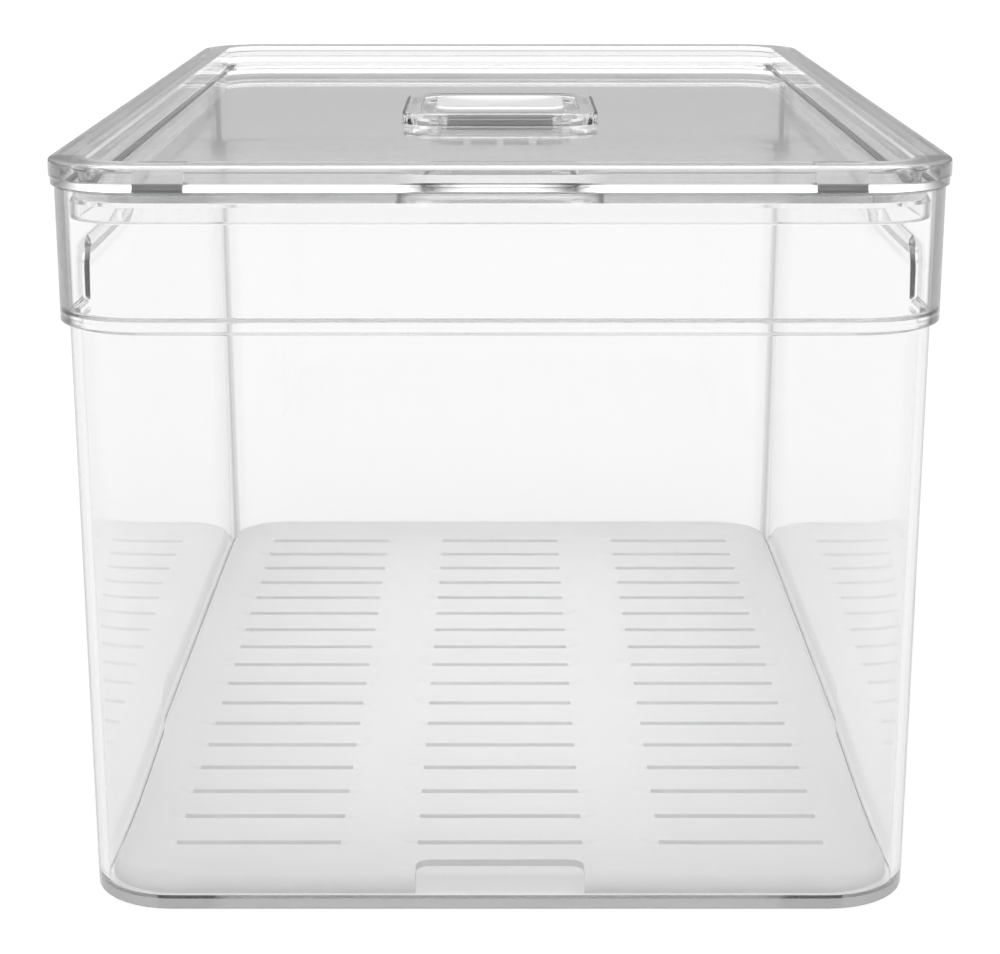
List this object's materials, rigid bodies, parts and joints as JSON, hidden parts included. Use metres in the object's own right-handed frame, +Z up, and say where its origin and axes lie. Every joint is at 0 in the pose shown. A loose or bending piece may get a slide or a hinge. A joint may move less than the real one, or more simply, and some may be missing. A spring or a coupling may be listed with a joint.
{
  "type": "vented fridge storage bin",
  "caption": "Clear rectangular fridge bin with lift-off recessed lid, pull-up square vent, proud top band with side grips, and a slotted drain tray inside.",
  "frame": {"origin": "centre of the flat base, at the level it stands on", "axes": "+Z up; +Y from the front to the back, along the bin's long side; +X to the right seen from the front"},
  "size_m": [0.211, 0.344, 0.1842],
  "materials": {
    "bin_clear": "crystal-clear moulded plastic, polished",
    "lid_clear": "crystal-clear moulded plastic, polished",
    "vent_clear": "clear moulded plastic",
    "knob_clear": "clear moulded plastic with a bright dished top",
    "seal_silicone": "translucent silicone",
    "tray_frosted": "translucent moulded plastic, lightly frosted"
  },
  "bodies": {
    "bin": {"bin_body": "bin_clear"},
    "lid_assembly": {"lid": "lid_clear", "vent_cup": "vent_clear"},
    "knob": {"vent_knob": "knob_clear", "vent_seal": "seal_silicone"},
    "tray": {"drain_tray": "tray_frosted"}
  },
  "joints": [
    {"name": "lid_lift", "type": "slide", "parent": "bin", "child": "lid_assembly", "axis": [0, 0, 1], "range_m": [0, 0.2]},
    {"name": "vent_pull", "type": "slide", "parent": "lid_assembly", "child": "knob", "axis": [0, 0, 1], "range_m": [0, 0.006]},
    {"name": "tray_lift", "type": "slide", "parent": "bin", "child": "tray", "axis": [0, 0, 1], "range_m": [0, 0.12]}
  ]
}
